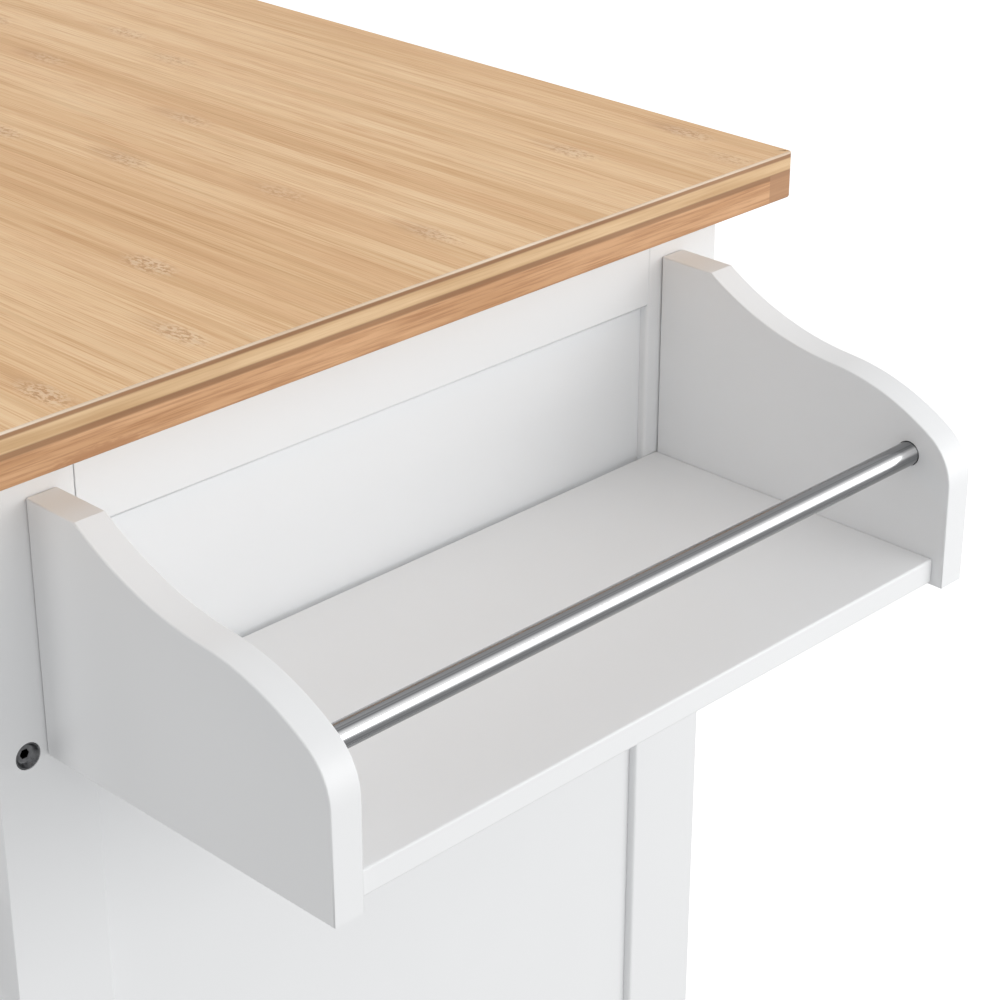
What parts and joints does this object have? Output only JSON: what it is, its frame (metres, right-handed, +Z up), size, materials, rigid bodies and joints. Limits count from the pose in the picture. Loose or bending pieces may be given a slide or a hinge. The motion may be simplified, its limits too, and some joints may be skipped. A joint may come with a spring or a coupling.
{
  "type": "kitchen island cart",
  "caption": "Rolling kitchen cart with a laminated wood worktop, a white cabinet with drawer and doors, and an end rack with a steel bar.",
  "frame": {"origin": "centre of the whole object's bounding box in plan, on the floor under the wheels", "axes": "+X along the worktop towards the rack, +Y from the drawer and doors towards the back, +Z up"},
  "size_m": [1.046, 0.48, 0.9],
  "materials": {
    "white_paint": "satin white paint over fibreboard",
    "bamboo": "clear satin varnish over laminated bamboo",
    "drawer_plywood": "clear matt varnish",
    "brushed_steel": "brushed along its length",
    "zinc_steel": "bright zinc plate",
    "dark_steel": "dark oxide",
    "satin_nickel": "satin nickel plate",
    "grey_rubber": "moulded tread on a grey plastic core",
    "black_plastic": "moulded"
  },
  "bodies": {
    "cabinet": {"worktop": "bamboo", "post_rack_front": "white_paint", "post_rack_back": "white_paint", "post_plain_front": "white_paint", "post_plain_back": "white_paint", "end_top_rail_rack": "white_paint", "end_top_rail_plain": "white_paint", "end_foot_rail_rack": "white_paint", "end_foot_rail_plain": "white_paint", "end_panel_rack": "white_paint", "end_panel_plain": "white_paint", "front_top_rail": "white_paint", "front_middle_rail": "white_paint", "front_foot_rail": "white_paint", "back_top_rail": "white_paint", "back_foot_rail": "white_paint", "back_mullion": "white_paint", "back_panels": "white_paint", "floor_board": "white_paint", "shelf": "white_paint", "shelf_pins": "zinc_steel", "worktop_brackets": "zinc_steel", "frame_bolts": "dark_steel", "rack_side_front": "white_paint", "rack_side_back": "white_paint", "rack_shelf": "white_paint", "rack_bar": "brushed_steel", "rack_screws": "dark_steel", "drawer_runners": "zinc_steel", "hinge_posts": "satin_nickel", "door_catch": "black_plastic", "caster_plates": "zinc_steel"},
    "drawer": {"drawer_front": "white_paint", "drawer_side_left": "drawer_plywood", "drawer_side_right": "drawer_plywood", "drawer_back": "drawer_plywood", "drawer_bottom": "drawer_plywood", "drawer_knobs": "satin_nickel", "drawer_slides": "zinc_steel"},
    "door_left": {"door_left_stiles": "white_paint", "door_left_rails": "white_paint", "door_left_panel": "white_paint", "door_left_knob": "satin_nickel", "door_left_hinges": "satin_nickel"},
    "door_right": {"door_right_stiles": "white_paint", "door_right_rails": "white_paint", "door_right_panel": "white_paint", "door_right_knob": "satin_nickel", "door_right_hinges": "satin_nickel"},
    "caster_rack_front": {"fork_rack_front": "zinc_steel"},
    "roller_rack_front": {"wheel_rack_front": "grey_rubber"},
    "caster_rack_back": {"fork_rack_back": "zinc_steel"},
    "roller_rack_back": {"wheel_rack_back": "grey_rubber"},
    "caster_plain_front": {"fork_plain_front": "zinc_steel"},
    "roller_plain_front": {"wheel_plain_front": "grey_rubber"},
    "caster_plain_back": {"fork_plain_back": "zinc_steel"},
    "roller_plain_back": {"wheel_plain_back": "grey_rubber"},
    "lever_rack_front": {"brake_rack_front": "black_plastic"},
    "lever_plain_front": {"brake_plain_front": "black_plastic"}
  },
  "joints": [
    {"name": "drawer_travel", "type": "slide", "parent": "cabinet", "child": "drawer", "axis": [0, -1, 0], "range_m": [0, 0.28]},
    {"name": "door_left_swing", "type": "hinge", "parent": "cabinet", "child": "door_left", "pos_m": [-0.4768, -0.2182, 0.42], "axis": [0, 0, -1], "range_deg": [0, 110]},
    {"name": "door_right_swing", "type": "hinge", "parent": "cabinet", "child": "door_right", "pos_m": [0.3308, -0.2182, 0.42], "axis": [0, 0, 1], "range_deg": [0, 110]},
    {"name": "caster_rack_front_swivel", "type": "hinge", "parent": "cabinet", "child": "caster_rack_front", "pos_m": [0.31, -0.173, 0.057], "axis": [0, 0, 1], "continuous": true},
    {"name": "wheel_rack_front_roll", "type": "hinge", "parent": "caster_rack_front", "child": "roller_rack_front", "pos_m": [0.29, -0.173, 0.025], "axis": [0, 1, 0], "continuous": true},
    {"name": "brake_rack_front_press", "type": "hinge", "parent": "caster_rack_front", "child": "lever_rack_front", "pos_m": [0.268, -0.173, 0.047], "axis": [0, -1, 0], "range_deg": [0, 15]},
    {"name": "caster_rack_back_swivel", "type": "hinge", "parent": "cabinet", "child": "caster_rack_back", "pos_m": [0.31, 0.173, 0.057], "axis": [0, 0, 1], "continuous": true},
    {"name": "wheel_rack_back_roll", "type": "hinge", "parent": "caster_rack_back", "child": "roller_rack_back", "pos_m": [0.29, 0.173, 0.025], "axis": [0, 1, 0], "continuous": true},
    {"name": "caster_plain_front_swivel", "type": "hinge", "parent": "cabinet", "child": "caster_plain_front", "pos_m": [-0.456, -0.173, 0.057], "axis": [0, 0, 1], "continuous": true},
    {"name": "wheel_plain_front_roll", "type": "hinge", "parent": "caster_plain_front", "child": "roller_plain_front", "pos_m": [-0.476, -0.173, 0.025], "axis": [0, 1, 0], "continuous": true},
    {"name": "brake_plain_front_press", "type": "hinge", "parent": "caster_plain_front", "child": "lever_plain_front", "pos_m": [-0.498, -0.173, 0.047], "axis": [0, -1, 0], "range_deg": [0, 15]},
    {"name": "caster_plain_back_swivel", "type": "hinge", "parent": "cabinet", "child": "caster_plain_back", "pos_m": [-0.456, 0.173, 0.057], "axis": [0, 0, 1], "continuous": true},
    {"name": "wheel_plain_back_roll", "type": "hinge", "parent": "caster_plain_back", "child": "roller_plain_back", "pos_m": [-0.476, 0.173, 0.025], "axis": [0, 1, 0], "continuous": true}
  ]
}
